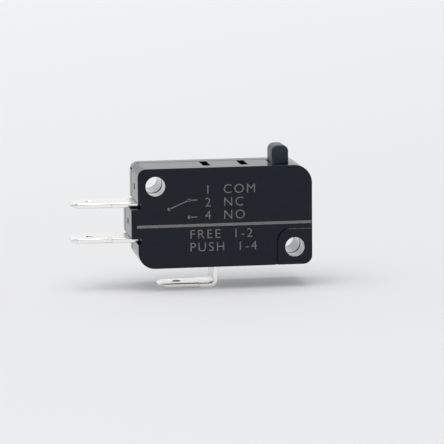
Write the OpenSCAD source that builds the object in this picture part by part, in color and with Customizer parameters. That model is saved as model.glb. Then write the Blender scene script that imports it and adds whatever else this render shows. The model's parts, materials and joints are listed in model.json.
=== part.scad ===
// Miniature snap-action switch with a push plunger and three plug-on terminals.
// Millimetres. X runs along the body, Y from the printed face to the rear face, Z up.
// The origin lies on the axis of the lower mounting hole, half way through the body.

/* [Body] */
// Length of the moulded body
body_length = 27.8; // [27.2:0.1:30]
// Height of the moulded body
body_height = 15.9; // [15.6:0.1:17]
// Thickness of the body, printed face to rear face
body_thickness = 10.3; // [10:0.1:11.5]
// Depth of the rear cover, rear face to parting line
cover_depth = 2.35; // [2.1:0.05:2.6]
// Side wall thickness of both mouldings
side_wall = 1.2; // [1.1:0.05:1.4]
// Thickness of the printed front wall
front_wall = 1.35; // [1.1:0.05:1.6]
// Thickness of the rear wall of the cover
rear_wall = 1.3; // [1:0.05:1.5]
// Corner radius, upper left
radius_top_left = 1.35; // [0.8:0.05:1.8]
// Corner radius, upper right
radius_top_right = 2.9; // [1.5:0.05:3.2]
// Corner radius, lower right
radius_bottom_right = 1.4; // [0.8:0.05:2]
// Corner radius, lower left
radius_bottom_left = 2.65; // [1.5:0.05:3]
// Depth and width of the shadow step along the parting line
parting_step = 0.15; // [0.1:0.01:0.25]

/* [Mounting holes] */
// Diameter of both mounting holes
hole_d = 3.1; // [3:0.02:3.2]
// Distance from each hole axis to the two nearest faces
hole_edge = 2.8; // [2.75:0.05:3]
// Wall of the cover's hollow spigots
spigot_wall = 0.75; // [0.6:0.05:0.8]
// Wall of the case round each spigot socket
socket_wall = 0.35; // [0.3:0.01:0.4]
// Depth of the seam between case and spigot, from the printed face
seam_depth = 3.95; // [3.5:0.05:4.5]
// Reach of the screw pad's border groove from the lower hole axis, to the left
pad_left = 3.07; // [2.95:0.01:3.2]
// Reach of the screw pad's border groove from the lower hole axis, upwards
pad_top = 3.05; // [2.95:0.01:3.2]
// Corner radius of the screw pad
pad_corner = 2.25; // [1.8:0.05:2.4]
// Width of the border groove on the left; it tapers round the corner
border_width = 0.3; // [0.2:0.02:0.36]
// Depth of the border groove
border_depth = 0.4; // [0.3:0.05:0.5]
// Distance of the groove's tapered end from the lower hole axis
border_end = 1.4; // [1.3:0.05:1.6]

/* [Terminal barrier] */
// How far the barrier between the side terminals stands out
barrier_reach = 1.06; // [0.8:0.02:1.4]
// Depth of the grooves above and below the barrier
groove_depth = 0.5; // [0.3:0.05:0.8]
// Thickness of the moulded wall that holds the side terminals
terminal_wall = 2.1; // [1.9:0.05:2.4]

/* [Cover latches] */
// Height of each latch window
latch_height = 0.9; // [0.7:0.05:1.1]
// Depth of each latch window along the thickness
latch_depth = 1.1; // [0.9:0.05:1.3]
// Height of each latch tooth
latch_tooth = 0.35; // [0.25:0.01:0.4]
// Thickness of the latch arm in the barrier
latch_arm = 0.7; // [0.6:0.05:0.8]

/* [Plunger] */
// Distance of the plunger axis from the lower hole axis
plunger_x = 1.8; // [1.6:0.05:2.1]
// Width of the plunger along the body
plunger_width = 2.72; // [2.4:0.02:3]
// Depth of the plunger across the body
plunger_depth = 4.24; // [3.8:0.02:4.6]
// Free height of the plunger above the body
plunger_height = 2.8; // [2.4:0.05:3]
// Corner radius of the rounded plunger top
plunger_round = 1; // [0.7:0.05:1.15]
// Width of the retaining flange beyond the plunger, each side
flange_lip = 0.75; // [0.5:0.05:0.8]
// Thickness of the retaining flange
flange_height = 1.2; // [0.9:0.05:1.5]
// Radius of the nose that pushes the lever
nose_radius = 1.2; // [1:0.05:1.3]

/* [Lever slots] */
// Distance of the near slot from the lower hole axis
slot_near = 7.6; // [7.4:0.05:7.8]
// Distance of the far slot from the lower hole axis
slot_far = 13.6; // [13.2:0.05:14]
// Width of each slot
slot_width = 1.15; // [0.8:0.05:1.3]
// Length of each slot across the body
slot_length = 5; // [4.4:0.05:5.2]
// Depth of each slot
slot_depth = 1.6; // [1.2:0.05:1.8]
// Wall of the pocket below and beside each slot
slot_wall = 0.5; // [0.4:0.05:0.6]

/* [Terminals] */
// Width of the plug-on tabs
tab_width = 4.75; // [4.6:0.05:4.9]
// Thickness of the terminal strip
strip_thickness = 0.8; // [0.75:0.01:0.82]
// Length of the plug-on tabs, tip to shoulder
tab_length = 6.3; // [6:0.05:6.6]
// Reach of the side tabs beyond the end face
tab_reach = 10.2; // [9.8:0.05:11]
// Diameter of the hole in each tab
tab_hole_d = 1.4; // [1.2:0.05:1.6]
// Distance from tab tip to hole axis
tab_hole_inset = 3.1; // [2.8:0.05:3.4]
// Corner chamfer at the tab tips
tab_chamfer = 1; // [0.7:0.05:1.2]
// Bevel of the tab faces at the tips
tab_bevel = 0.2; // [0.1:0.01:0.25]
// Width of the strip between shoulder and case
stem_width = 5.6; // [5.4:0.05:5.6]
// Width of the strip where it is keyed into the wall
key_width = 4.6; // [4.2:0.05:4.8]
// Distance between the planes of the side terminals
terminal_pitch = 5.6; // [5.4:0.05:5.8]
// Distance of the common terminal from the lower hole axis
com_x = 12.44; // [12.2:0.02:12.7]
// Distance from the body to the middle of the common tab
com_drop = 3.3; // [3:0.05:3.6]
// Distance of the common tab's shoulder from the middle of its strip
com_shoulder = 2.7; // [2.4:0.05:3]
// Inner bend radius of the common terminal
bend_radius = 0.5; // [0.4:0.05:0.7]

/* [Contacts] */
// Diameter of the contact heads
contact_d = 3; // [2.6:0.05:3.2]
// Height of the fixed contact heads
contact_head = 0.9; // [0.8:0.02:1]
// Diameter of the contact shanks
shank_d = 1.6; // [1.4:0.05:1.8]
// Open gap between moving and fixed contact
contact_gap = 0.6; // [0.5:0.02:0.8]
// Distance of the contacts from the end face of the body
contact_inset = 5.6; // [5.4:0.05:6]
// Crown radius of the moving contact
contact_crown = 8; // [6:0.5:12]

/* [Snap mechanism] */
// Thickness of the contact blade
blade_thickness = 0.4; // [0.35:0.01:0.5]
// Thickness of the actuating lever
lever_thickness = 0.5; // [0.4:0.01:0.6]
// Height of the blade pivot above the lever pivot
pivot_offset = 1.4; // [1.2:0.02:1.6]
// Free slope of the actuating lever in degrees
lever_slope = 14.3; // [13.5:0.1:15]
// Width of the window for the spring in post, blade and lever
window_width = 2.6; // [2.4:0.05:2.8]
// Distance of the spring hole in the blade from the moving contact
blade_hook_inset = 2.66; // [2.5:0.02:2.9]
// Distance of the spring hole in the lever from its pivot
lever_hook = 7.25; // [6.9:0.05:7.6]
// Mean diameter of the spring coils
coil_d = 1.5; // [1.4:0.02:1.6]
// Diameter of the spring wire
wire_d = 0.3; // [0.25:0.01:0.34]
// Number of spring coils
coil_turns = 17; // [14:1:18]

/* [Clearances] */
// Clearance between fixed pieces that fit together
fit_gap = 0.05; // [0.03:0.01:0.07]
// Running clearance of the plunger in its opening
slide_gap = 0.08; // [0.05:0.01:0.12]
// Running clearance at the two rocking pivots
pivot_gap = 0.05; // [0.03:0.01:0.08]
// Smallest gap between faces that touch in use
touch_gap = 0.03; // [0.02:0.01:0.05]

/* [Hidden] */
$fn = 48;

// Length by which a cut runs past a face
over = 1;
// Overlap between joined shapes of one piece
bite = 0.1;
// Corner radius of the barrier
barrier_round = 0.15;
// Corner radius inside the mouldings
inner_round = 0.4;
// Plastic between the barrier's end face and its latch
barrier_skin = 0.6;
// Height of the terminal wall below the lower strip
wall_below = 1;
// Width of the guide ribs beside the plunger flange
rib_width = 0.8;
// Height of the guide ribs' feet above the axis of the plunger nose
rib_foot = 1.2;
// Reach of the guide ribs from the front wall and from the rear wall
rib_front = 1.3;
rib_rear = 1.7;
// Width and height of the ribs that steady the common terminal
channel_rib = 1;
channel_height = 1.6;
// Shift of the lever slots towards the printed face
slot_shift = 0.25;
// Latch tooth: play in its window, root inside the arm, flat behind the ramp
tooth_play = 0.1;
tooth_root = 0.3;
tooth_flat = 0.2;
// Depth to which the upper spigot's tooth is set in
tooth_sink = 0.06;
// Distance of the upper latch below its hole axis
latch_drop = 0.5;
// Half height of the barrier's latch arm
arm_half = 0.6;
// Gap between the case and the end of each spigot
spigot_end = 0.15;
// Inset of the plunger nose at each end
nose_inset = 0.4;
// Length of the bevel at the tab tips
tab_bevel_run = 0.9;
// Strip beyond the contact heads
strip_tail = 0.3;
// Height of the common post above the blade pivot, and of its fork below the lever pivot
post_head = 1.35;
fork_foot = 1.6;
// Bevel at the rim of the fixed contact heads
contact_bevel = 0.2;
// Corners cut off the ends of blade and lever, and the lever's end beyond the plunger axis
blade_taper = 2.2;
lever_taper = 1.4;
lever_tail = 1;

// Outer faces of the body
right = hole_edge;
left = right - body_length;
bottom = -hole_edge;
top = bottom + body_height;
front = -body_thickness / 2;
rear = body_thickness / 2;
parting = rear - cover_depth;
seam = front + seam_depth;
cavity_front = front + front_wall;
cavity_rear = rear - rear_wall;
cavity_top = top - side_wall;

// Upper mounting hole
upper_x = left + hole_edge;
upper_z = top - hole_edge;
spigot_r = hole_d / 2 + spigot_wall;
boss_r = spigot_r + fit_gap + socket_wall;

// Terminal planes, strip faces and the middle height of the contacts
nc_top = upper_z - boss_r - fit_gap;
nc_bottom = nc_top - strip_thickness;
no_top = nc_top - terminal_pitch;
no_bottom = no_top - strip_thickness;
middle_z = (nc_bottom + no_top) / 2;
barrier_top = nc_bottom - fit_gap;
barrier_bottom = no_top + fit_gap;
tip_x = left - tab_reach;
contact_x = left + contact_inset;
strip_end = contact_x + contact_d / 2 + strip_tail;
com_left = -com_x - strip_thickness / 2;
com_right = -com_x + strip_thickness / 2;
com_top = bottom - com_drop + strip_thickness / 2;
com_tip = -com_x - com_shoulder - tab_length;

// Blade: pivot, arm, free tilt and half height of the moving contact
blade_x = com_left;
blade_arm = blade_x - contact_x;
blade_hook = blade_arm - blade_hook_inset;
blade_tilt = asin(contact_gap / 2 / blade_arm);
contact_half = ((nc_bottom - no_top) / 2 - contact_head - contact_gap / 2 - touch_gap) / cos(blade_tilt);

// Lever: pivot, length, and the plunger nose that rests on it
lever_x = com_right;
lever_z = middle_z - pivot_offset;
lever_length = (-plunger_x - lever_x) / cos(lever_slope) + lever_tail;
nose_z = lever_z + (-plunger_x - lever_x) * tan(lever_slope)
         + (lever_thickness / 2 + nose_radius + touch_gap) / cos(lever_slope);

// Spring hooks and coil axis
hook_b = [blade_x - blade_hook * cos(blade_tilt), middle_z + blade_hook * sin(blade_tilt)];
hook_l = [lever_x + lever_hook * cos(lever_slope), lever_z + lever_hook * sin(lever_slope)];
spring_length = norm(hook_l - hook_b);
spring_angle = atan2(hook_l[1] - hook_b[1], hook_l[0] - hook_b[0]);
// Diameter of the holes for the hooks, the bar left beside each, and the wire's lead into the coils
hook_hole_d = 0.8;
hook_bar = 0.3;
hook_lead = 0.3;

// Latch of the barrier
arm_left = left - barrier_reach + barrier_skin + fit_gap;
latch_z = (barrier_top + barrier_bottom) / 2;

// Rectangle between two corners, each corner with its own radius
module soft_box(x0, z0, x1, z1, bl, br, tr, tl) {
  difference() {
    translate([x0, z0]) square([x1 - x0, z1 - z0]);
    soft_corner(x0, z0, bl, 1, 1);
    soft_corner(x1, z0, br, -1, 1);
    soft_corner(x1, z1, tr, -1, -1);
    soft_corner(x0, z1, tl, 1, -1);
  }
}

// Waste outside a rounded corner
module soft_corner(x, z, r, dx, dz) {
  if (r > 0)
    translate([x + dx * r, z + dz * r])
      difference() {
        translate([dx > 0 ? -r - over : 0, dz > 0 ? -r - over : 0]) square(r + over);
        circle(r);
      }
}

// Flat shape in X and Z carried along the thickness from y0 to y1
module along_y(y0, y1) {
  translate([0, y1, 0]) rotate([90, 0, 0]) linear_extrude(y1 - y0) children();
}

// Round bar along the thickness
module bar_y(x, z, r, y0, y1) {
  translate([x, y1, z]) rotate([90, 0, 0]) cylinder(h = y1 - y0, r = r);
}

// Box between two corners
module block(x0, x1, y0, y1, z0, z1) {
  translate([x0, y0, z0]) cube([x1 - x0, y1 - y0, z1 - z0]);
}

// Outline of both mouldings, drawn in by inset
module outline(inset) {
  difference() {
    union() {
      soft_box(left + inset, bottom + inset, right - inset, top - inset,
               radius_bottom_left - inset, radius_bottom_right - inset,
               radius_top_right - inset, radius_top_left - inset);
      soft_box(left - barrier_reach + inset, barrier_bottom + inset, left + side_wall, barrier_top - inset,
               barrier_round, 0, 0, barrier_round);
    }
    // grooves that the side terminals leave through
    for (z = [barrier_top - inset, no_bottom - fit_gap + inset])
      translate([left - barrier_reach - over, z])
        square([barrier_reach + over + groove_depth, strip_thickness + 2 * fit_gap]);
  }
}

// Room inside both mouldings, clear of the hole bosses and of the terminal wall
module room(inset) {
  difference() {
    soft_box(left + side_wall + inset, bottom + side_wall + inset,
             right - side_wall - inset, top - side_wall - inset,
             radius_bottom_left - side_wall, inner_round, radius_top_right - side_wall, inner_round);
    soft_box(left, upper_z - boss_r - inset, upper_x + boss_r + inset, top, 0, boss_r, 0, 0);
    soft_box(-boss_r - inset, bottom, right, boss_r + inset, 0, 0, 0, boss_r);
    soft_box(left, no_bottom - wall_below - inset, left + terminal_wall + inset, upper_z,
             0, inner_round, 0, 0);
  }
}

// Keyed slot that holds a terminal strip in a wall, open towards the cover
module key_slot(x0, x1, z0, z1) {
  block(x0, x1, -key_width / 2 - fit_gap, parting + over, z0, z1);
}

// Guide ribs beside the plunger flange, from y0 to y1
module guide_ribs(y0, y1) {
  reach = plunger_width / 2 + flange_lip + slide_gap;
  for (x = [-plunger_x - reach - rib_width, -plunger_x + reach])
    block(x, x + rib_width, y0, y1, nose_z + rib_foot, cavity_top - fit_gap);
}

// Outline of the screw pad round the lower hole, open to the right and bottom faces
module pad() {
  soft_box(-pad_left, bottom - over, right + over, pad_top, 0, 0, 0, pad_corner);
}

// Outline of the groove that borders the pad on the left and tapers round its corner
module pad_border() {
  difference() {
    pad();
    translate([border_width, 0]) pad();
    translate([-border_end, 0]) square([right + border_end + 2 * over, pad_top + over]);
  }
}

// Latch tooth, ramped on the side that enters first, pointing to negative X
module tooth(y0) {
  height = latch_height - tooth_play;
  end = latch_depth - tooth_flat;
  translate([0, y0, -height / 2])
    linear_extrude(height)
      polygon([[tooth_root, 0], [0, 0], [-latch_tooth, end - tooth_flat], [-latch_tooth, end],
               [tooth_root, end]]);
}

// Front moulding: printed face, hole bosses, plunger opening and terminal slots
module case() {
  color([0.05, 0.055, 0.06])
    difference() {
      union() {
        difference() {
          union() {
            along_y(front, parting - parting_step) outline(0);
            along_y(parting - parting_step - bite, parting) outline(parting_step);
          }
          along_y(cavity_front, parting + over) room(0);
        }
        // pockets of the two lever slots
        for (x = [slot_near, slot_far])
          block(-x - slot_width / 2 - slot_wall, -x + slot_width / 2 + slot_wall,
                cavity_front - bite, parting, top - slot_depth - slot_wall, cavity_top + bite);
        // ribs that steady the common terminal
        for (x = [com_left - fit_gap - channel_rib, com_right + fit_gap])
          block(x, x + channel_rib, cavity_front - bite, parting,
                bottom + side_wall - bite, bottom + side_wall + channel_height);
        translate([0, 0, fit_gap]) guide_ribs(cavity_front - bite, cavity_front + rib_front);
      }
      // mounting holes and the sockets for the cover's spigots
      for (p = [[0, 0], [upper_x, upper_z]]) {
        bar_y(p[0], p[1], hole_d / 2, front - over, rear + over);
        bar_y(p[0], p[1], spigot_r + fit_gap, seam, parting + over);
      }
      // border of the screw pad
      along_y(front - over, front + border_depth) pad_border();
      // plunger opening
      block(-plunger_x - plunger_width / 2 - slide_gap, -plunger_x + plunger_width / 2 + slide_gap,
            -plunger_depth / 2 - slide_gap, plunger_depth / 2 + slide_gap, cavity_top - over, top + over);
      // lever slots
      for (x = [slot_near, slot_far])
        block(-x - slot_width / 2, -x + slot_width / 2,
              -slot_length / 2 - slot_shift, slot_length / 2 - slot_shift, top - slot_depth, top + over);
      // terminal slots
      key_slot(left - over, left + terminal_wall + over, barrier_top, nc_top + fit_gap);
      key_slot(left - over, left + terminal_wall + over, no_bottom - fit_gap, barrier_bottom);
      key_slot(com_left - fit_gap, com_right + fit_gap, bottom - over, bottom + side_wall + bite);
      // latch windows at the two holes and in the barrier
      block(left - over, upper_x - spigot_r + tooth_root, seam, seam + latch_depth,
            upper_z - latch_drop - latch_height / 2, upper_z - latch_drop + latch_height / 2);
      block(spigot_r - tooth_root, right + over, seam, seam + latch_depth,
            -latch_height / 2, latch_height / 2);
      block(left - barrier_reach - over, arm_left, seam, seam + latch_depth,
            latch_z - latch_height / 2, latch_z + latch_height / 2);
      // pocket of the barrier latch arm
      block(arm_left - fit_gap, arm_left + latch_arm + latch_tooth + tooth_play, seam - 2 * fit_gap,
            parting + over, latch_z - arm_half - fit_gap, latch_z + arm_half + fit_gap);
    }
}

// Rear moulding: rear wall, hollow spigots, latches and keys
module cover() {
  color([0.05, 0.055, 0.06])
    difference() {
      union() {
        difference() {
          along_y(parting, rear) outline(0);
          along_y(parting - over, cavity_rear) room(0);
        }
        for (p = [[0, 0], [upper_x, upper_z]])
          bar_y(p[0], p[1], spigot_r, seam + spigot_end, parting + bite);
        // latch teeth on the spigots
        translate([upper_x - spigot_r + tooth_sink, 0, upper_z - latch_drop]) tooth(seam + spigot_end);
        translate([spigot_r, 0, 0]) mirror([1, 0, 0]) tooth(seam + spigot_end);
        // latch arm in the barrier
        block(arm_left, arm_left + latch_arm, seam + fit_gap, parting + bite,
              latch_z - arm_half, latch_z + arm_half);
        translate([arm_left, 0, latch_z]) tooth(seam + 2 * fit_gap);
        // keys that close the terminal slots
        for (z = [[barrier_top, nc_top + fit_gap], [no_bottom - fit_gap, barrier_bottom]])
          block(left + groove_depth + fit_gap, left + terminal_wall - fit_gap,
                key_width / 2 + fit_gap, parting + bite, z[0] + fit_gap, z[1] - fit_gap);
        block(com_left, com_right, key_width / 2 + fit_gap, parting + bite,
              bottom + fit_gap, bottom + side_wall);
        intersection() {
          guide_ribs(cavity_rear - rib_rear, cavity_rear + bite);
          along_y(cavity_rear - rib_rear - over, cavity_rear + over) room(fit_gap);
        }
      }
      for (p = [[0, 0], [upper_x, upper_z]])
        bar_y(p[0], p[1], hole_d / 2, front - over, rear + over);
    }
}

// Push plunger: rounded top, retaining flange and the nose on the lever
module plunger() {
  half = plunger_width / 2;
  color([0.06, 0.06, 0.065]) {
    along_y(-plunger_depth / 2, plunger_depth / 2)
      soft_box(-plunger_x - half, cavity_top - flange_height / 2, -plunger_x + half, top + plunger_height,
               0, 0, plunger_round, plunger_round);
    block(-plunger_x - half - flange_lip, -plunger_x + half + flange_lip,
          -plunger_depth / 2 - flange_lip, plunger_depth / 2 + flange_lip,
          cavity_top - fit_gap - flange_height, cavity_top - fit_gap);
    along_y(-plunger_depth / 2 + nose_inset, plunger_depth / 2 - nose_inset)
      union() {
        translate([-plunger_x - nose_radius, nose_z])
          square([2 * nose_radius, cavity_top - flange_height - nose_z + bite]);
        translate([-plunger_x, nose_z]) circle(nose_radius);
      }
  }
}

// Plan of a plug-on tab with its stem, tip at x = 0, running to positive x
module tab_plan(stem_end) {
  half = tab_width / 2;
  difference() {
    union() {
      polygon([[0, -half + tab_chamfer], [tab_chamfer, -half], [tab_length, -half],
               [tab_length, half], [tab_chamfer, half], [0, half - tab_chamfer]]);
      translate([tab_length, -stem_width / 2]) square([stem_end - tab_length, stem_width]);
    }
    translate([tab_hole_inset, 0]) circle(d = tab_hole_d);
  }
}

// Flat tab with bevelled tip, resting on z = 0
module tab(stem_end) {
  t = strip_thickness;
  intersection() {
    linear_extrude(t) tab_plan(stem_end);
    along_y(-stem_width, stem_width)
      polygon([[0, tab_bevel], [tab_bevel_run, 0], [stem_end, 0], [stem_end, t], [tab_bevel_run, t],
               [0, t - tab_bevel]]);
  }
}

// Side terminal: tab, keyed neck and inner strip with the hole for its contact
module side_terminal(z) {
  shoulder = left + groove_depth - fit_gap;
  inner = left + terminal_wall + fit_gap;
  translate([0, 0, z])
    difference() {
      union() {
        translate([tip_x, 0, 0]) tab(shoulder - tip_x);
        block(shoulder - bite, inner + bite, -key_width / 2, key_width / 2, 0, strip_thickness);
        block(inner, strip_end, -stem_width / 2, stem_width / 2, 0, strip_thickness);
      }
      translate([contact_x, 0, -over]) cylinder(h = strip_thickness + 2 * over, d = shank_d);
    }
}

// Upper terminal, normally closed
module nc_terminal() {
  color([0.82, 0.8, 0.76]) side_terminal(nc_bottom);
}

// Lower terminal, normally open
module no_terminal() {
  color([0.82, 0.8, 0.76]) side_terminal(no_bottom);
}

// Common terminal: tab, right-angle bend, keyed neck and forked post with two pivot grooves
module com_terminal() {
  neck = bottom + side_wall + fit_gap;
  post_top = middle_z + post_head;
  bend_x = com_left - bend_radius;
  bend_z = com_top + bend_radius;
  outer = bend_radius + strip_thickness;
  color([0.82, 0.8, 0.76])
    difference() {
      union() {
        translate([com_tip, 0, com_top - strip_thickness]) tab(bend_x - com_tip);
        along_y(-stem_width / 2, stem_width / 2)
          intersection() {
            difference() {
              translate([bend_x, bend_z]) circle(outer);
              translate([bend_x, bend_z]) circle(bend_radius);
            }
            translate([bend_x, bend_z - outer - over]) square(outer + over);
          }
        block(com_left, com_right, -stem_width / 2, stem_width / 2, bend_z, bottom - fit_gap);
        block(com_left, com_right, -key_width / 2, key_width / 2, bottom - fit_gap - bite, neck + bite);
        block(com_left, com_right, -stem_width / 2, stem_width / 2, neck, post_top);
      }
      // fork for the spring
      block(com_left - over, com_right + over, -window_width / 2, window_width / 2,
            lever_z - fork_foot, post_top + over);
      // pivot grooves
      bar_y(blade_x, middle_z, blade_thickness / 2 + pivot_gap, -stem_width, stem_width);
      bar_y(lever_x, lever_z, lever_thickness / 2 + pivot_gap, -stem_width, stem_width);
    }
}

// Fixed contact rivet with its head face at z = 0 and its shank pointing up
module fixed_contact() {
  cylinder(h = contact_bevel, d1 = contact_d - 2 * contact_bevel, d2 = contact_d);
  translate([0, 0, contact_bevel]) cylinder(h = contact_head - contact_bevel, d = contact_d);
  translate([0, 0, contact_head - bite]) cylinder(h = strip_thickness + bite, d = shank_d);
}

// Contact rivet of the upper terminal
module nc_contact() {
  color([0.88, 0.87, 0.85]) translate([contact_x, 0, nc_bottom - contact_head]) fixed_contact();
}

// Contact rivet of the lower terminal
module no_contact() {
  color([0.88, 0.87, 0.85])
    translate([contact_x, 0, no_top + contact_head]) mirror([0, 0, 1]) fixed_contact();
}

// Place in the blade's own frame: x to the left from the pivot
module on_blade() {
  translate([blade_x, 0, middle_z]) rotate([0, blade_tilt, 0]) mirror([1, 0, 0]) children();
}

// Forked contact blade with rounded ends in the post's grooves
module contact_blade() {
  blade_end = blade_arm + contact_d / 2 + strip_tail;
  color([0.8, 0.55, 0.35])
    on_blade()
      difference() {
        union() {
          bar_y(0, 0, blade_thickness / 2, -stem_width / 2, stem_width / 2);
          block(0, blade_end, -stem_width / 2, stem_width / 2, -blade_thickness / 2, blade_thickness / 2);
        }
        block(-over, blade_hook - hook_hole_d / 2 - hook_bar,
              -window_width / 2, window_width / 2, -over, over);
        translate([blade_hook, 0, -over]) cylinder(h = 2 * over, d = hook_hole_d);
        translate([blade_arm, 0, -over]) cylinder(h = 2 * over, d = shank_d);
        // tapered end round the contact
        for (s = [-1, 1])
          translate([blade_end, s * stem_width / 2, 0])
            rotate([0, 0, 45]) cube([blade_taper, blade_taper, 2 * over], center = true);
      }
}

// Moving contact: double-headed rivet with crowned faces
module moving_contact() {
  color([0.88, 0.87, 0.85])
    on_blade()
      translate([blade_arm, 0, 0])
        union() {
          cylinder(h = blade_thickness + 2 * bite, d = shank_d, center = true);
          for (s = [0, 1])
            mirror([0, 0, s])
              intersection() {
                translate([0, 0, blade_thickness / 2])
                  cylinder(h = contact_half - blade_thickness / 2 + bite, d = contact_d);
                translate([0, 0, contact_half - contact_crown]) sphere(contact_crown, $fn = 96);
              }
        }
}

// Forked actuating lever with rounded ends in the post's grooves
module actuating_lever() {
  color([0.78, 0.72, 0.5])
    translate([lever_x, 0, lever_z])
      rotate([0, -lever_slope, 0])
        difference() {
          union() {
            bar_y(0, 0, lever_thickness / 2, -stem_width / 2, stem_width / 2);
            block(0, lever_length, -stem_width / 2, stem_width / 2,
                  -lever_thickness / 2, lever_thickness / 2);
          }
          block(-over, lever_hook - hook_hole_d / 2 - hook_bar,
                -window_width / 2, window_width / 2, -over, over);
          translate([lever_hook, 0, -over]) cylinder(h = 2 * over, d = hook_hole_d);
          // cut corners at the plunger end
          for (s = [-1, 1])
            translate([lever_length, s * stem_width / 2, 0])
              rotate([0, 0, 45]) cube([lever_taper, lever_taper, 2 * over], center = true);
        }
}

// Centre line of the spring wire along x from hook to hook
coil_start = coil_d / 2 + hook_lead;
coil_end = spring_length - coil_start;
coil_steps = 10;
hook_steps = 8;
hook_turn = 180 / hook_steps;
wire_sides = 6;
corner_cut = 0.25;
coil_path = [for (i = [0 : coil_turns * coil_steps])
  let (a = 360 * i / coil_steps, x = coil_start + (coil_end - coil_start) * i / (coil_turns * coil_steps))
    [x, -sin(a) * coil_d / 2, cos(a) * coil_d / 2]];
hook_arc = [for (i = [0 : hook_steps])
  [coil_d / 2 * (1 - sin(hook_turn * i)), 0, -coil_d / 2 * cos(hook_turn * i)]];
last = len(coil_path) - 1;
left_end = cut_corners(cut_corners(concat(hook_arc, [coil_path[0], coil_path[1]])));
right_end = cut_corners(cut_corners(concat([coil_path[last - 1], coil_path[last]],
  [for (i = [hook_steps : -1 : 0]) [spring_length - hook_arc[i][0], 0, hook_arc[i][2]]])));
wire_path = concat(left_end, [for (i = [2 : last - 2]) coil_path[i]], right_end);

// Softens a bent line by cutting each corner
function cut_corners(p) = concat([p[0]],
  [for (i = [1 : len(p) - 2])
    each [p[i] + (p[i - 1] - p[i]) * corner_cut, p[i] + (p[i + 1] - p[i]) * corner_cut]],
  [p[len(p) - 1]]);

function unit(v) = v / norm(v);

// Direction of a line at point i
function heading(p, i) = unit(p[min(i + 1, len(p) - 1)] - p[max(i - 1, 0)]);

// Side vectors carried along a line without twist
function carried(p) = [for (i = 0, n = unit(cross(heading(p, 0), [0, 1, 0])); i < len(p);
  i = i + 1, n = i < len(p) ? unit(n - (n * heading(p, i)) * heading(p, i)) : n) n];

// Round wire along a line
module wire(p, d, sides) {
  n = carried(p);
  points = [for (i = [0 : len(p) - 1]) for (j = [0 : sides - 1])
    let (a = 360 * j / sides, b = cross(heading(p, i), n[i]))
      p[i] + d / 2 * (cos(a) * n[i] + sin(a) * b)];
  rows = len(p);
  faces = concat(
    [[for (j = [0 : sides - 1]) j]],
    [for (i = [0 : rows - 2]) for (j = [0 : sides - 1]) let (k = (j + 1) % sides)
      each [[i * sides + j, (i + 1) * sides + j, (i + 1) * sides + k],
            [i * sides + j, (i + 1) * sides + k, i * sides + k]]],
    [[for (j = [sides - 1 : -1 : 0]) (rows - 1) * sides + j]]);
  polyhedron(points, faces);
}

// Tension spring between blade and lever
module snap_spring() {
  color([0.7, 0.72, 0.74])
    translate([hook_b[0], 0, hook_b[1]])
      rotate([0, -spring_angle, 0])
        wire(wire_path, wire_d, wire_sides);
}

case();
cover();
plunger();
com_terminal();
nc_terminal();
no_terminal();
nc_contact();
no_contact();
contact_blade();
moving_contact();
actuating_lever();
snap_spring();
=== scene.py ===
# Snap-action switch: the finished surfaces of every piece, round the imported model.
# Metres. X runs along the body, Y from the printed face to the rear face, Z up.
import json
import math

import bmesh
import bpy
from mathutils import Matrix, Vector


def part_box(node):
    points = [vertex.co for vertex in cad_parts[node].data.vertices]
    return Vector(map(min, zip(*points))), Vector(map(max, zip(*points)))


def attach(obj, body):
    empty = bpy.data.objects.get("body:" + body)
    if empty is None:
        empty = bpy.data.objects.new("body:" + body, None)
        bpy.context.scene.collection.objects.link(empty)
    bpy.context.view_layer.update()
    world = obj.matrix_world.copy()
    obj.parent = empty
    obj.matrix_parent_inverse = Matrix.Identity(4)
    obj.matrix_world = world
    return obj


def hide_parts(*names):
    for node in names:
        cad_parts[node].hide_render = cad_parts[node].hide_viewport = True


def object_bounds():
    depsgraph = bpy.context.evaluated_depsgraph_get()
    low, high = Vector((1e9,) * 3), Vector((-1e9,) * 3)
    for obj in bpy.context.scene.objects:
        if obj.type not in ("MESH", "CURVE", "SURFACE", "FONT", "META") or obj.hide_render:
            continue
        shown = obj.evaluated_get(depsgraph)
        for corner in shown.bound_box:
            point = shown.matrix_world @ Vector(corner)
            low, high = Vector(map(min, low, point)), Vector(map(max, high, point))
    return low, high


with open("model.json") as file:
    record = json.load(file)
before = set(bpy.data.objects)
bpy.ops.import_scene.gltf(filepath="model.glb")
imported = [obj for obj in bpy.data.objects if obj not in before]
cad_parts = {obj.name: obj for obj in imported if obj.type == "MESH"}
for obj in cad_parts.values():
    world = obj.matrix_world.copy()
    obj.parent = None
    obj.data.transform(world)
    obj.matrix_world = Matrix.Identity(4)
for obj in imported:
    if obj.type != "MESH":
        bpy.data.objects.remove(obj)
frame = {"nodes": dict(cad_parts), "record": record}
cad_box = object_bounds()

# Case: front half of the housing, moulded in black glass-filled polyester. The mould was
# spark-eroded, which leaves a fine satin grain, and every outer edge and rim has a small
# radius. The three terminals are keyed into slots in its end and lower walls.
MM = 0.001
WELD_REACH = 0.0005 * MM
FLAT = math.radians(0.2)
SHARP = math.radians(28)
SMOOTH = math.radians(38)
ROUND_STEPS = 3
NOISE_LOW = 0.3
NOISE_HIGH = 0.7
PLASTIC_DARK = (0.0014, 0.0036, 0.0118, 1)
PLASTIC_LIGHT = (0.0038, 0.0062, 0.0158, 1)
PLASTIC_GLOSS = (0.08, 0.17)
PLASTIC_GRAIN = 7500
PLASTIC_IOR = 1.33
GRAIN_SHARE = 0.3
GRAIN_DEPTH = 0.012 * MM
SINK_MARKS = 260.0
FIBRE_FLOW = 900.0
FIBRE_STRETCH = (0.25, 1.0, 1.0)
BORE_COAT = 0.9
BORE_IOR = 1.5
BORE_ROUGHNESS = 0.05
EDGE_RADIUS = 0.12 * MM
RIM_RADIUS = 0.072 * MM
BORDER_RADIUS = 0.048 * MM
PARTING_RADIUS = 0.14 * MM
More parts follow.
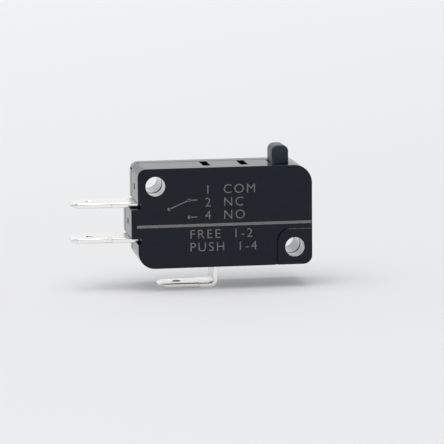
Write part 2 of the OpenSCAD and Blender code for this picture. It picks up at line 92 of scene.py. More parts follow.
UPPER_SEAM = 0.5 * MM
LOWER_SEAM = 0.3 * MM
LEAD_IN = 0.25 * MM
OPENING_LEFT = -3.24 * MM
PAD_CORNER = (-0.52 * MM, 0.80 * MM)
BORDER_NEAR = 2.2 * MM
BORDER_FAR = 2.6 * MM
SOCKET_RADIUS = 2.5 * MM
PARTING = 2.8 * MM
PARTING_STEP = 0.15 * MM
TOUCH = 0.02 * MM

mounts = {mount["name"]: mount for mount in frame["record"]["mounts"]}
hole_axes = [Vector(mounts[name]["pos_m"]) for name in ("lower_hole", "upper_hole")]
hole_radius = mounts["lower_hole"]["dims"]["r_mm"] * MM
case_low, case_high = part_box("case")
body_left = mounts["upper_hole"]["pos_m"][0] - case_high.x


def welded_copy(node):
    """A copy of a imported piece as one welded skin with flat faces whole, selected and active."""
    bpy.ops.object.select_all(action="DESELECT")
    piece = bpy.data.objects.new(node + "_finished", frame["nodes"][node].data.copy())
    bpy.context.scene.collection.objects.link(piece)
    piece.select_set(True)
    bpy.context.view_layer.objects.active = piece
    bpy.ops.object.mode_set(mode="EDIT")
    bpy.ops.mesh.select_all(action="SELECT")
    bpy.ops.mesh.remove_doubles(threshold=WELD_REACH)
    bpy.ops.mesh.dissolve_limited(angle_limit=FLAT)
    bpy.ops.object.mode_set(mode="OBJECT")
    return piece


def round_edges(piece, radius_at):
    """Rounds the sharp outer edges: radius_at(middle) gives each one's radius."""
    skin = bmesh.new()
    skin.from_mesh(piece.data)
    weight = skin.edges.layers.float.new("bevel_weight_edge")
    radii = {edge: radius_at((edge.verts[0].co + edge.verts[1].co) / 2)
             for edge in skin.edges if edge.is_convex and edge.calc_face_angle() > SHARP}
    largest = max(radii.values())
    for edge, radius in radii.items():
        edge[weight] = radius / largest
    skin.to_mesh(piece.data)
    skin.free()
    bpy.ops.object.modifier_add(type="BEVEL")
    bevel = piece.modifiers[-1]
    bevel.limit_method = "WEIGHT"
    bevel.width = largest
    bevel.segments = ROUND_STEPS
    bevel.use_clamp_overlap = False
    bevel.loop_slide = False
    bpy.ops.object.modifier_apply(modifier=bevel.name)


def shade(piece):
    """Smooth shading that keeps flat faces flat."""
    bpy.ops.object.shade_smooth_by_angle(angle=SMOOTH)
    bpy.ops.object.modifier_add(type="WEIGHTED_NORMAL")
    piece.modifiers[-1].keep_sharp = True
    bpy.ops.object.modifier_apply(modifier=piece.modifiers[-1].name)


def stand_for(piece, node, body, material):
    """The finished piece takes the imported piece's place on its body."""
    piece.data.materials.clear()
    piece.data.materials.append(material)
    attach(piece, body)
    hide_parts(node)


def new_group(name, inputs, outputs):
    """An empty shader group with named sockets, and its two end nodes."""
    tree = bpy.data.node_groups.new(name, "ShaderNodeTree")
    for label, kind in inputs.items():
        tree.interface.new_socket(label, in_out="INPUT", socket_type=kind)
    for label in outputs:
        tree.interface.new_socket(label, in_out="OUTPUT", socket_type="NodeSocketFloat")
    return tree, tree.nodes.new("NodeGroupInput"), tree.nodes.new("NodeGroupOutput")


def put(tree, kind, **values):
    """A new node with its unlinked inputs set by name."""
    made = tree.nodes.new(kind)
    for label, value in values.items():
        made.inputs[label.replace("_", " ")].default_value = value
    return made


def put_math(tree, operation, first, second):
    """A math node on two values, each a socket or a number."""
    made = tree.nodes.new("ShaderNodeMath")
    made.operation = operation
    for place, value in enumerate((first, second)):
        if isinstance(value, bpy.types.NodeSocket):
            tree.links.new(value, made.inputs[place])
        else:
            made.inputs[place].default_value = value
    return made.outputs[0]


def put_range(tree, value, low, high):
    """Carries the range that a noise mostly keeps to, or a plain 0 or 1, over to low to high."""
    made = put(tree, "ShaderNodeMapRange", From_Min=NOISE_LOW, From_Max=NOISE_HIGH, To_Min=low, To_Max=high)
    tree.links.new(value, made.inputs["Value"])
    return made.outputs["Result"]


def put_mix(tree, share, first, second):
    """Mixes two colours, each a socket or a fixed colour."""
    made = tree.nodes.new("ShaderNodeMix")
    made.data_type = "RGBA"
    tree.links.new(share, made.inputs["Factor"])
    for socket, value in zip((made.inputs[6], made.inputs[7]), (first, second)):
        if isinstance(value, bpy.types.NodeSocket):
            tree.links.new(value, socket)
        else:
            socket.default_value = value
    return made.outputs[2]


def new_material(name):
    """A material with its shader and the object's own coordinates."""
    material = bpy.data.materials.new(name)
    material.use_nodes = True
    tree = material.node_tree
    place = tree.nodes.new("ShaderNodeTexCoord").outputs["Object"]
    return material, tree, tree.nodes["Principled BSDF"], place


def put_bump(tree, shader, height, depth):
    """Feeds a height to the shader's normal, with its depth in metres."""
    bump = put(tree, "ShaderNodeBump", Distance=depth)
    tree.links.new(height, bump.inputs["Height"])
    tree.links.new(bump.outputs["Normal"], shader.inputs["Normal"])


# moulded skin: spark grain, slow sink marks, and cloudy fibre flow along the body
moulded_skin, ends_in, ends_out = new_group(
    "moulded_skin", {"Vector": "NodeSocketVector", "Grain": "NodeSocketFloat"},
    ("Height", "Gloss", "Cloud"))
grain = put(moulded_skin, "ShaderNodeTexNoise", Detail=2.0, Roughness=0.6)
moulded_skin.links.new(ends_in.outputs["Vector"], grain.inputs["Vector"])
moulded_skin.links.new(ends_in.outputs["Grain"], grain.inputs["Scale"])
sink = put(moulded_skin, "ShaderNodeTexNoise", Scale=SINK_MARKS, Detail=1.0)
moulded_skin.links.new(ends_in.outputs["Vector"], sink.inputs["Vector"])
stretch = put(moulded_skin, "ShaderNodeMapping", Scale=FIBRE_STRETCH)
moulded_skin.links.new(ends_in.outputs["Vector"], stretch.inputs["Vector"])
flow = put(moulded_skin, "ShaderNodeTexNoise", Scale=FIBRE_FLOW, Detail=4.0, Roughness=0.6,
           Distortion=0.4)
moulded_skin.links.new(stretch.outputs["Vector"], flow.inputs["Vector"])
fine = put_math(moulded_skin, "MULTIPLY", grain.outputs["Fac"], GRAIN_SHARE)
slow = put_math(moulded_skin, "MULTIPLY", sink.outputs["Fac"], 1 - GRAIN_SHARE)
moulded_skin.links.new(put_math(moulded_skin, "ADD", fine, slow), ends_out.inputs["Height"])
half_flow = put_math(moulded_skin, "MULTIPLY", flow.outputs["Fac"], 0.5)
half_grain = put_math(moulded_skin, "MULTIPLY", grain.outputs["Fac"], 0.5)
moulded_skin.links.new(put_math(moulded_skin, "ADD", half_flow, half_grain), ends_out.inputs["Gloss"])
moulded_skin.links.new(flow.outputs["Fac"], ends_out.inputs["Cloud"])


# polished bores: 1 inside the two mounting holes, which the mould forms round polished core pins
polished_bores, ends_in, ends_out = new_group(
    "polished_bores", {"Vector": "NodeSocketVector"}, ("Polish",))
flat = polished_bores.nodes.new("ShaderNodeVectorMath")
flat.operation = "MULTIPLY"
flat.inputs[1].default_value = (1, 0, 1)
polished_bores.links.new(ends_in.outputs["Vector"], flat.inputs[0])
distances = []
for axis in hole_axes:
    from_axis = polished_bores.nodes.new("ShaderNodeVectorMath")
    from_axis.operation = "DISTANCE"
    from_axis.inputs[1].default_value = (axis.x, 0, axis.z)
    polished_bores.links.new(flat.outputs["Vector"], from_axis.inputs[0])
    distances.append(from_axis.outputs["Value"])
nearest = put_math(polished_bores, "MINIMUM", *distances)
inside = put_math(polished_bores, "LESS_THAN", nearest, hole_radius + TOUCH)
polish = put_math(polished_bores, "MULTIPLY", inside, BORE_COAT)
polished_bores.links.new(polish, ends_out.inputs["Polish"])


def put_group(tree, group, place):
    """A shader group in a material, fed with the object's own coordinates."""
    made = tree.nodes.new("ShaderNodeGroup")
    made.node_tree = group
    tree.links.new(place, made.inputs["Vector"])
    return made


def moulded_plastic(name, dark, light, gloss, grain_size):
    """Black moulded plastic: cloudy colour, uneven gloss and a fine grain."""
    material, tree, shader, place = new_material(name)
    skin = put_group(tree, moulded_skin, place)
    skin.inputs["Grain"].default_value = grain_size
    cloud = put_range(tree, skin.outputs["Cloud"], 0.0, 1.0)
    tree.links.new(put_mix(tree, cloud, dark, light), shader.inputs["Base Color"])
    tree.links.new(put_range(tree, skin.outputs["Gloss"], *gloss), shader.inputs["Roughness"])
    put_bump(tree, shader, skin.outputs["Height"], GRAIN_DEPTH)
    shader.inputs["IOR"].default_value = PLASTIC_IOR
    return material


def hole_distance(point):
    """Distance of a point from the nearer mounting hole's axis."""
    return min(math.hypot(point.x - axis.x, point.z - axis.z) for axis in hole_axes)


def depth_inside(point):
    """How far a point lies inside the rectangle of the body's four outer walls."""
    return min(point.x - body_left, case_high.x - point.x,
               point.z - case_low.z, case_high.z - point.z)


def on_border(point):
    """Whether a point of the printed face lies on an edge of the groove beside the screw pad."""
    past = math.hypot(max(PAD_CORNER[0] - point.x, 0.0), max(point.z - PAD_CORNER[1], 0.0))
    return BORDER_NEAR < past < BORDER_FAR


def seam_radius(point):
    """Radius at the seam inside a bore, which gapes more in the upper hole."""
    return LOWER_SEAM if point.x > body_left / 2 else UPPER_SEAM


def case_radius(point):
    """Radius on the case: by the edge's place on the outline, a rim, a seam or the plunger's opening."""
    if point.y < case_low.y + TOUCH:
        if on_border(point):
            return BORDER_RADIUS
        return RIM_RADIUS if hole_distance(point) < hole_radius + TOUCH else EDGE_RADIUS
    if hole_distance(point) < hole_radius + TOUCH:
        return seam_radius(point)
    if hole_distance(point) < SOCKET_RADIUS or depth_inside(point) > TOUCH:
        return 0.0
    if point.y > PARTING - PARTING_STEP - TOUCH:
        return PARTING_RADIUS
    beside_plunger = abs(point.x - OPENING_LEFT) < TOUCH and point.z > case_high.z - TOUCH
    return LEAD_IN if beside_plunger else RIM_RADIUS


housing_plastic = moulded_plastic(
    "housing_plastic", PLASTIC_DARK, PLASTIC_LIGHT, PLASTIC_GLOSS, PLASTIC_GRAIN)
housing_tree = housing_plastic.node_tree
housing_shader = housing_tree.nodes["Principled BSDF"]
housing_shader.inputs["Coat IOR"].default_value = BORE_IOR
housing_shader.inputs["Coat Roughness"].default_value = BORE_ROUGHNESS
housing_place = housing_tree.nodes["Texture Coordinate"].outputs["Object"]
bores = put_group(housing_tree, polished_bores, housing_place)
housing_tree.links.new(bores.outputs["Polish"], housing_shader.inputs["Coat Weight"])
case = welded_copy("case")
round_edges(case, case_radius)
shade(case)
stand_for(case, "case", "housing", housing_plastic)

# Cover: rear half of the housing, from the same black moulding. Hollow spigots on it run into
# the case round both mounting holes, and its teeth snap into the case's windows.
MOUTH_SHARE = 0.8
COVER_LIP = 0.043 * MM

cover_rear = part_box("cover")[1].y


def cover_radius(point):
    """Radius on the cover: most at the spigots' mouths, less on the outline and rims, none inside."""
    if point.y > cover_rear - TOUCH:
        return RIM_RADIUS if hole_distance(point) < hole_radius + TOUCH else EDGE_RADIUS
    if hole_distance(point) < hole_radius + TOUCH:
        return MOUTH_SHARE * seam_radius(point)
    hidden = point.y < PARTING - TOUCH or hole_distance(point) < SOCKET_RADIUS
    return 0.0 if hidden or depth_inside(point) > TOUCH else COVER_LIP


cover = welded_copy("cover")
round_edges(cover, cover_radius)
shade(cover)
stand_for(cover, "cover", "housing", housing_plastic)

# Terminals: three strips stamped from brass and plated with bright tin. The stamping and the tin
# leave soft edges, less so round the tips, and the cut flanks are smoother than the rolled faces.
# The flanks that face front and back are lighter and a little warmer: a painted reflection of the floor.
TIN_LIGHT = (0.90, 0.89, 0.865, 1)
TIN_DULL = (0.85, 0.838, 0.81, 1)
TIN_GLOSS = (0.24, 0.3)
# painted reflection: the lighter, warmer colour of the flanks that face front and back
FLANK_PAINTED_REFLECTION = (0.985, 0.96, 0.91, 1)
FLANK_POLISH = 0.15
FLANK_FALL = 3.0
STRIP_LINES = 9000.0
STRIP_STRETCH = (0.03, 1.0, 1.0)
STRIP_CLOUDS = 1100.0
LINE_SHARE = 0.4
LINE_DEPTH = 0.001 * MM
STAMPED_RADIUS = 0.18 * MM
TIP_RADIUS = 0.1 * MM
TIP_LENGTH = 1.0 * MM
GROOVE_REACH = 0.5 * MM

joints = {joint["name"]: joint for joint in frame["record"]["behaviour"]["joints"]}
groove_axes = [Vector(joints[name]["pos_m"]) for name in ("lever_pivot", "blade_pivot")]

# rolled strip: drawn lines along the strip, and a cloudy skin
rolled_strip, ends_in, ends_out = new_group(
    "rolled_strip", {"Vector": "NodeSocketVector", "Lines": "NodeSocketFloat"},
    ("Height", "Gloss", "Cloud"))
drawn = put(rolled_strip, "ShaderNodeMapping", Scale=STRIP_STRETCH)
rolled_strip.links.new(ends_in.outputs["Vector"], drawn.inputs["Vector"])
lines = put(rolled_strip, "ShaderNodeTexNoise", Detail=3.0, Roughness=0.7)
rolled_strip.links.new(drawn.outputs["Vector"], lines.inputs["Vector"])
rolled_strip.links.new(ends_in.outputs["Lines"], lines.inputs["Scale"])
cloudy = put(rolled_strip, "ShaderNodeTexNoise", Scale=STRIP_CLOUDS, Detail=4.0, Roughness=0.55)
rolled_strip.links.new(ends_in.outputs["Vector"], cloudy.inputs["Vector"])
rolled_strip.links.new(lines.outputs["Fac"], ends_out.inputs["Height"])
line_gloss = put_math(rolled_strip, "MULTIPLY", lines.outputs["Fac"], LINE_SHARE)
cloud_gloss = put_math(rolled_strip, "MULTIPLY", cloudy.outputs["Fac"], 1 - LINE_SHARE)
rolled_strip.links.new(put_math(rolled_strip, "ADD", line_gloss, cloud_gloss), ends_out.inputs["Gloss"])
rolled_strip.links.new(cloudy.outputs["Fac"], ends_out.inputs["Cloud"])


def rolled_metal(name, light, dull, gloss, painted_reflection=None, lines_per_metre=STRIP_LINES):
    """Rolled metal: cloudy colour, drawn lines, and, where a colour is given, a smoother finish and that
    colour as a painted reflection on the flanks that face front and back.
    """
    material, tree, shader, place = new_material(name)
    strip = put_group(tree, rolled_strip, place)
    strip.inputs["Lines"].default_value = lines_per_metre
    colour = put_mix(tree, put_range(tree, strip.outputs["Cloud"], 0.0, 1.0), light, dull)
    roughness = put_range(tree, strip.outputs["Gloss"], *gloss)
    # painted reflection: faces that look front or back take the lighter colour
    if painted_reflection:
        facing = tree.nodes.new("ShaderNodeSeparateXYZ")
        tree.links.new(tree.nodes.new("ShaderNodeNewGeometry").outputs["Normal"], facing.inputs[0])
        sideways = put_math(tree, "ABSOLUTE", facing.outputs["Y"], 0.0)
        cut = put_math(tree, "POWER", sideways, FLANK_FALL)
        colour = put_mix(tree, cut, colour, painted_reflection)
        polish = put_math(tree, "MULTIPLY", cut, FLANK_POLISH)
        roughness = put_math(tree, "SUBTRACT", roughness, polish)
    tree.links.new(colour, shader.inputs["Base Color"])
    tree.links.new(roughness, shader.inputs["Roughness"])
    put_bump(tree, shader, strip.outputs["Height"], LINE_DEPTH)
    shader.inputs["Metallic"].default_value = 1.0
    return material


def terminal_radius(point, tip):
    """The stamped radius, less round the tip, none in the grooves where blade and lever rock."""
    reach = min(math.hypot(point.x - pivot.x, point.z - pivot.z) for pivot in groove_axes)
    if reach < GROOVE_REACH:
        return 0.0
    return TIP_RADIUS if point.x < tip + TIP_LENGTH + TOUCH else STAMPED_RADIUS


tinned_brass_painted_flanks = rolled_metal("tinned_brass_painted_flanks", TIN_LIGHT, TIN_DULL, TIN_GLOSS, FLANK_PAINTED_REFLECTION)
for node in ("nc_terminal", "no_terminal", "com_terminal"):
    terminal = welded_copy(node)
    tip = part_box(node)[0].x
    round_edges(terminal, lambda point: terminal_radius(point, tip))
    shade(terminal)
    stand_for(terminal, node, "housing", tinned_brass_painted_flanks)

# Contacts: two headed rivets of silver alloy in the side terminals, and a double-headed one on
# the blade. They are turned and pressed, with a dull bloom in clouds.
SILVER_LIGHT = (0.91, 0.90, 0.88, 1)
SILVER_BLOOM = (0.66, 0.64, 0.60, 1)
SILVER_GLOSS = (0.22, 0.45)
TURNED_LINES = 4000.0
RIVET_RADIUS = 0.05 * MM

silver_alloy = rolled_metal("silver_alloy", SILVER_LIGHT, SILVER_BLOOM, SILVER_GLOSS,
                            lines_per_metre=TURNED_LINES)
for node, body in (("nc_contact", "housing"), ("no_contact", "housing"), ("moving_contact", "blade")):
    rivet = welded_copy(node)
    round_edges(rivet, lambda point: RIVET_RADIUS)
    shade(rivet)
    stand_for(rivet, node, body, silver_alloy)

# Blade: forked arm punched from rolled copper alloy, rocking in the upper groove of the common
# terminal's post. Handling has browned it in clouds.
COPPER_LIGHT = (0.83, 0.52, 0.32, 1)
COPPER_BROWN = (0.58, 0.33, 0.19, 1)
COPPER_GLOSS = (0.24, 0.4)
PUNCHED_RADIUS = 0.05 * MM

copper_alloy = rolled_metal("copper_alloy", COPPER_LIGHT, COPPER_BROWN, COPPER_GLOSS)
blade = welded_copy("contact_blade")
round_edges(blade, lambda point: PUNCHED_RADIUS)
shade(blade)
stand_for(blade, "contact_blade", "blade", copper_alloy)

# Lever: forked steel stamping under the plunger's nose, nickel plated, rocking in the lower
# groove of the post.
NICKEL_LIGHT = (0.72, 0.69, 0.64, 1)
NICKEL_DULL = (0.56, 0.535, 0.49, 1)
NICKEL_GLOSS = (0.2, 0.36)

nickel_steel = rolled_metal("nickel_steel", NICKEL_LIGHT, NICKEL_DULL, NICKEL_GLOSS)
lever = welded_copy("actuating_lever")
round_edges(lever, lambda point: PUNCHED_RADIUS)
shade(lever)
stand_for(lever, "actuating_lever", "lever", nickel_steel)

# Spring: tension coil of drawn stainless wire, hooked into blade and lever. It is drawn out by a
# hundredth from its hook in the blade, which keeps the other hook free in its hole at every pose.
WIRE_LIGHT = (0.66, 0.67, 0.69, 1)
WIRE_DULL = (0.48, 0.48, 0.49, 1)
WIRE_GLOSS = (0.18, 0.32)
WIRE_LINES = 14000.0
DRAWN_OUT = 1.0107

spring_wire = rolled_metal("spring_wire", WIRE_LIGHT, WIRE_DULL, WIRE_GLOSS, lines_per_metre=WIRE_LINES)
spring = welded_copy("snap_spring")
blade_hook = Matrix.Translation(joints["spring_swing"]["pos_m"])
spring.data.transform(blade_hook @ Matrix.Diagonal((DRAWN_OUT, 1, 1, 1)) @ blade_hook.inverted())
bpy.ops.object.shade_smooth()
stand_for(spring, "snap_spring", "spring", spring_wire)

# Plunger: round-topped push button of black plastic, a closer-grained and more matt moulding than
# the housing, held in by its flange under the top wall. The part that shows is softened more than
# the housing's edges.
BUTTON_DARK = (0.023, 0.0352, 0.0452, 1)
BUTTON_LIGHT = (0.0312, 0.0445, 0.0562, 1)
BUTTON_GLOSS = (0.32, 0.42)
BUTTON_GRAIN = 9000
BUTTON_RADIUS = 0.24 * MM
FLANGE_RADIUS = 0.05 * MM
FLANGE_BELOW = 1.0 * MM

flange_top = case_high.z - FLANGE_BELOW
button_plastic = moulded_plastic("button_plastic", BUTTON_DARK, BUTTON_LIGHT, BUTTON_GLOSS, BUTTON_GRAIN)
plunger = welded_copy("plunger")
round_edges(plunger, lambda point: BUTTON_RADIUS if point.z > flange_top else FLANGE_RADIUS)
shade(plunger)
stand_for(plunger, "plunger", "button", button_plastic)

# Print: a rule across the printed face, a contact diagram and plain terminal legends, in thin pale
# ink laid on the moulding by a pad. The ink stands a hundredth of a millimetre proud and is a
# little broken. A hairline of the same ink along the top edge of the screw pad is a painted
# highlight of that edge.
INK_PALE = (0.270, 0.258, 0.243, 1)
INK_THIN = (0.135, 0.131, 0.126, 1)
INK_GLOSS = (0.45, 0.65)
INK_SPECKLE = 5200.0
INK_RELIEF = 0.003 * MM
INK_DEPTH = 0.008 * MM
RULE_Z = 3.97 * MM
RULE_HEIGHT = 0.45 * MM
RULE_LEFT = -25.2 * MM
# painted highlight: a hairline of pale ink on the top edge of the screw pad, for the light on that edge
PAD_HIGHLIGHT_Z = 2.93 * MM
PAD_HIGHLIGHT_LEFT = -1.05 * MM
PAD_HIGHLIGHT_HEIGHT = 0.045 * MM
STROKE = 0.16 * MM
DOT_RADIUS = 0.25 * MM
DOT_SIDES = 20
LETTER_SIZE = 2.05 * MM
LETTER_THIN = 0.008
LETTER_GAP = 1.25
LEGEND_X = -14.4 * MM
ROW_PITCH = 2.05 * MM
FIRST_ROW = 8.95 * MM
POSITION_X = -16.9 * MM
POSITION_ROW = 1.85 * MM
DIAGRAM_COMMON = (-20.1 * MM, 6.65 * MM)
DIAGRAM_REACH = 3.2 * MM
DIAGRAM_SPREAD = 1.35 * MM
DIAGRAM_LEAD = 1.3 * MM

# the print's ink, which also draws the painted highlight along the screw pad's top edge
ink, ink_tree, ink_shader, ink_place = new_material("print_ink_and_pad_highlight")
speckle = put(ink_tree, "ShaderNodeTexNoise", Scale=INK_SPECKLE, Detail=3.0, Roughness=0.65)
ink_tree.links.new(ink_place, speckle.inputs["Vector"])
broken = put_range(ink_tree, speckle.outputs["Fac"], 0.0, 1.0)
ink_tree.links.new(put_mix(ink_tree, broken, INK_PALE, INK_THIN), ink_shader.inputs["Base Color"])
ink_tree.links.new(put_range(ink_tree, speckle.outputs["Fac"], *INK_GLOSS), ink_shader.inputs["Roughness"])
put_bump(ink_tree, ink_shader, speckle.outputs["Fac"], INK_RELIEF)


def lay_ink(piece, x, z, turn=0.0):
    """Stands a flat shape up on the printed face, half its depth sunk in, turned in its own plane."""
    stood_up = Matrix.Rotation(math.radians(90), 4, "X") @ Matrix.Rotation(turn, 4, "Z")
    piece.data.transform(Matrix.Translation((x, case_low.y + INK_DEPTH, z)) @ stood_up)
    return piece


def thicken(piece):
    """Gives a flat shape twice the ink's depth, to be half sunk in, with its faces outwards."""
    bpy.ops.object.mode_set(mode="EDIT")
    bpy.ops.mesh.select_all(action="SELECT")
    bpy.ops.mesh.extrude_region_move(TRANSFORM_OT_translate={"value": (0, 0, 2 * INK_DEPTH)})
    bpy.ops.mesh.select_all(action="SELECT")
    bpy.ops.mesh.normals_make_consistent(inside=False)
    bpy.ops.object.mode_set(mode="OBJECT")
    return piece


def ink_bar(x0, z0, x1, z1, width):
    """A straight bar of ink from one point to another."""
    bpy.ops.object.select_all(action="DESELECT")
    bpy.ops.mesh.primitive_plane_add(size=1)
    bar = bpy.context.active_object
    bar.data.transform(Matrix.Diagonal((math.hypot(x1 - x0, z1 - z0), width, 1, 1)))
    return lay_ink(thicken(bar), (x0 + x1) / 2, (z0 + z1) / 2, math.atan2(z1 - z0, x1 - x0))


def ink_dot(x, z):
    """A round dot of ink for a contact."""
    bpy.ops.object.select_all(action="DESELECT")
    bpy.ops.mesh.primitive_circle_add(vertices=DOT_SIDES, radius=DOT_RADIUS, fill_type="NGON")
    return lay_ink(thicken(bpy.context.active_object), x, z)


def ink_words(words, x, z):
    """Plain thin lettering, its lower left corner at x and z."""
    bpy.ops.object.select_all(action="DESELECT")
    bpy.ops.object.text_add()
    lettering = bpy.context.active_object
    lettering.data.body = words
    lettering.data.size = LETTER_SIZE
    lettering.data.offset = -LETTER_THIN * LETTER_SIZE
    lettering.data.extrude = INK_DEPTH
    lettering.data.space_character = LETTER_GAP
    bpy.ops.object.convert(target="MESH")
    lettering = bpy.context.active_object
    lettering.data.transform(Matrix.Translation((0, 0, INK_DEPTH)))
    return lay_ink(lettering, x, z)


def print_on(name, shapes):
    """Joins ink shapes into one print on the housing."""
    bpy.ops.object.select_all(action="DESELECT")
    for shape in shapes:
        shape.select_set(True)
    bpy.context.view_layer.objects.active = shapes[0]
    bpy.ops.object.join()
    shapes[0].name = name
    shapes[0].data.materials.clear()
    shapes[0].data.materials.append(ink)
    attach(shapes[0], "housing")


rule_right = case_high.x - EDGE_RADIUS
print_on("printed_rule_and_pad_highlight", [
    ink_bar(RULE_LEFT, RULE_Z, rule_right, RULE_Z, RULE_HEIGHT),
    # painted highlight: the hairline along the screw pad's top edge
    ink_bar(PAD_HIGHLIGHT_LEFT, PAD_HIGHLIGHT_Z, rule_right, PAD_HIGHLIGHT_Z, PAD_HIGHLIGHT_HEIGHT)])
legend = [ink_words(words, LEGEND_X, FIRST_ROW - row * ROW_PITCH)
          for row, words in enumerate(("1  COM", "2  NC", "4  NO"))]
legend += [ink_words(words, POSITION_X, POSITION_ROW - row * ROW_PITCH)
           for row, words in enumerate(("FREE  1-2", "PUSH  1-4"))]
common_x, common_z = DIAGRAM_COMMON
throw_x = common_x + DIAGRAM_REACH
legend += [ink_dot(common_x, common_z),
           ink_bar(common_x, common_z, throw_x, common_z + DIAGRAM_SPREAD, STROKE)]
for throw_z in (common_z - DIAGRAM_SPREAD, common_z + DIAGRAM_SPREAD):
    legend += [ink_dot(throw_x, throw_z),
               ink_bar(throw_x, throw_z, throw_x + DIAGRAM_LEAD, throw_z, STROKE)]
print_on("printed_legend", legend)

# Floor: a plain pale sheet under the common terminal, the lowest piece. The sheet is lit a little
# from below, as on a light table, so that shadows on it stay pale. Behind the body this rises
# with every metre, as the lamp's own light falls off.
FLOOR_COLOUR = (0.825, 0.825, 0.835, 1)
FLOOR_ROUGHNESS = 0.9
FLOOR_SPECULAR = 0.1
FLOOR_GLOW = (0.81, 0.815, 0.83, 1)
GLOW_SHARE = 0.27
GLOW_RISE = 1.45
FLOOR_HALF = 1.5


def put_seen(tree):
    """1 where a surface is seen, directly, mirrored or through glass, and 0 where it only gives light."""
    ray = tree.nodes.new("ShaderNodeLightPath")
    seen = put_math(tree, "MAXIMUM", ray.outputs["Is Camera Ray"], ray.outputs["Is Glossy Ray"])
    return put_math(tree, "MAXIMUM", seen, ray.outputs["Is Transmission Ray"])


bpy.ops.object.select_all(action="DESELECT")
bpy.ops.mesh.primitive_plane_add(size=2 * FLOOR_HALF, location=(0, 0, cad_box[0].z - TOUCH))
floor = bpy.context.active_object
floor.name = "floor"
paper = bpy.data.materials.new("floor_paper")
paper.use_nodes = True
paper_tree = paper.node_tree
paper_shader = paper_tree.nodes["Principled BSDF"]
paper_shader.inputs["Base Color"].default_value = FLOOR_COLOUR
paper_shader.inputs["Roughness"].default_value = FLOOR_ROUGHNESS
paper_shader.inputs["Specular IOR Level"].default_value = FLOOR_SPECULAR
sheet = paper_tree.nodes.new("ShaderNodeNewGeometry")
sheet_place = paper_tree.nodes.new("ShaderNodeSeparateXYZ")
paper_tree.links.new(sheet.outputs["Position"], sheet_place.inputs[0])
far_off = put_math(paper_tree, "MAXIMUM", sheet_place.outputs["Y"], 0.0)
rise = put_math(paper_tree, "MULTIPLY", far_off, GLOW_RISE)
glow = put(paper_tree, "ShaderNodeEmission", Color=FLOOR_GLOW)
paper_tree.links.new(put_math(paper_tree, "ADD", rise, 1.0), glow.inputs["Strength"])
glow_share = put_math(paper_tree, "MULTIPLY", put_seen(paper_tree), GLOW_SHARE)
lit_sheet = paper_tree.nodes.new("ShaderNodeMixShader")
paper_tree.links.new(glow_share, lit_sheet.inputs["Fac"])
paper_tree.links.new(paper_shader.outputs["BSDF"], lit_sheet.inputs[1])
paper_tree.links.new(glow.outputs["Emission"], lit_sheet.inputs[2])
paper_tree.links.new(lit_sheet.outputs["Shader"], paper_tree.nodes["Material Output"].inputs["Surface"])
floor.data.materials.append(paper)

# Light: a broad soft lamp overhead, to the left and front, in a pale room that is darker in front.
# The wall behind the body, with a soft window high up, is a backdrop for the reflections and
# gives only a share of its light.
ROOM_COLOUR = (0.975, 0.985, 1.0, 1)
ROOM_FRONT = 0.3
ROOM_BACK = 0.87
ROOM_TURN = (-0.2, 0.5)
WINDOW = 0.8
WINDOW_SIDES = (0.4, 0.7)
WINDOW_SILL = (0.28, 0.42)
WINDOW_HEAD = (0.55, 0.7)
BACKDROP_LIGHT = 0.2
LAMP_HEIGHT = 1.4
LAMP_LENGTH = 1.9
LAMP_WIDTH = 1.6
LAMP_POWER = 22.7
LAMP_CENTRE = (-0.5, -0.36)

world = bpy.data.worlds.new("room")
world.use_nodes = True
bpy.context.scene.world = world
room = world.node_tree
outward = room.nodes.new("ShaderNodeSeparateXYZ")
room.links.new(room.nodes.new("ShaderNodeTexCoord").outputs["Generated"], outward.inputs[0])


def put_fade(value, span, first, last):
    """Carries a direction smoothly from first to last over a span."""
    made = put(room, "ShaderNodeMapRange", From_Min=span[0], From_Max=span[1], To_Min=first, To_Max=last)
    made.interpolation_type = "SMOOTHSTEP"
    room.links.new(value, made.inputs["Value"])
    return made.outputs["Result"]


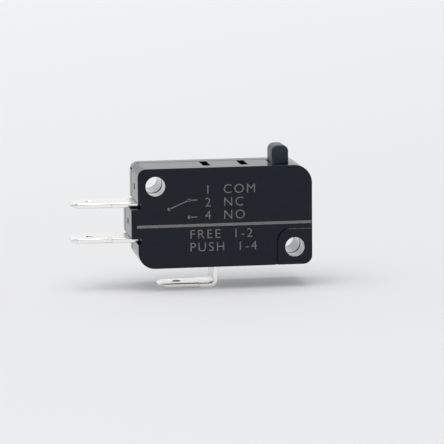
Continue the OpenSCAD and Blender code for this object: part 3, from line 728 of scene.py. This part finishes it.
behind = put_fade(outward.outputs["Y"], ROOM_TURN, 0.0, 1.0)
across = put_fade(outward.outputs["Y"], WINDOW_SIDES, 0.0, WINDOW)
over = put_fade(outward.outputs["Z"], WINDOW_SILL, 0.0, 1.0)
under = put_fade(outward.outputs["Z"], WINDOW_HEAD, 1.0, 0.0)
window = put_math(room, "MULTIPLY", put_math(room, "MULTIPLY", over, under), across)
wall = put_math(room, "MULTIPLY", behind, put_math(room, "ADD", window, ROOM_BACK - ROOM_FRONT))
wall = put_math(room, "MULTIPLY", wall, put_range(room, put_seen(room), BACKDROP_LIGHT, 1.0))
room.links.new(put_math(room, "ADD", wall, ROOM_FRONT), room.nodes["Background"].inputs["Strength"])
room.nodes["Background"].inputs["Color"].default_value = ROOM_COLOUR

overhead = bpy.data.lights.new("overhead_lamp", "AREA")
overhead.shape = "RECTANGLE"
overhead.size = LAMP_LENGTH
overhead.size_y = LAMP_WIDTH
overhead.energy = LAMP_POWER
overhead_lamp = bpy.data.objects.new("overhead_lamp", overhead)
overhead_lamp.location = (*LAMP_CENTRE, LAMP_HEIGHT)
bpy.context.scene.collection.objects.link(overhead_lamp)

# Camera: eye level a little above the body and to its left, through a long lens that looks at the
# middle of the body and is turned a little about its own axis.
CAMERA_AZIMUTH = math.radians(-8.792)
CAMERA_ELEVATION = math.radians(8.757)
CAMERA_ROLL = math.radians(-0.518)
CAMERA_DISTANCE = 450.0 * MM
CAMERA_TARGET = Vector((-10.888, 0.0, 3.566)) * MM
CAMERA_LENS = 228.65
CAMERA_NEAR = 10.0 * MM

back = Vector((math.sin(CAMERA_AZIMUTH) * math.cos(CAMERA_ELEVATION),
               -math.cos(CAMERA_AZIMUTH) * math.cos(CAMERA_ELEVATION), math.sin(CAMERA_ELEVATION)))
level = Vector((math.cos(CAMERA_AZIMUTH), math.sin(CAMERA_AZIMUTH), 0))
upright = back.cross(level)
right = level * math.cos(CAMERA_ROLL) + upright * math.sin(CAMERA_ROLL)
up = upright * math.cos(CAMERA_ROLL) - level * math.sin(CAMERA_ROLL)
camera = bpy.data.objects.new("camera", bpy.data.cameras.new("camera"))
camera.data.lens = CAMERA_LENS
camera.data.clip_start = CAMERA_NEAR
camera.matrix_world = (Matrix.Translation(CAMERA_TARGET + back * CAMERA_DISTANCE)
                       @ Matrix((right, up, back)).transposed().to_4x4())
bpy.context.scene.collection.objects.link(camera)
bpy.context.scene.camera = camera
bpy.context.scene.view_settings.view_transform = "Standard"
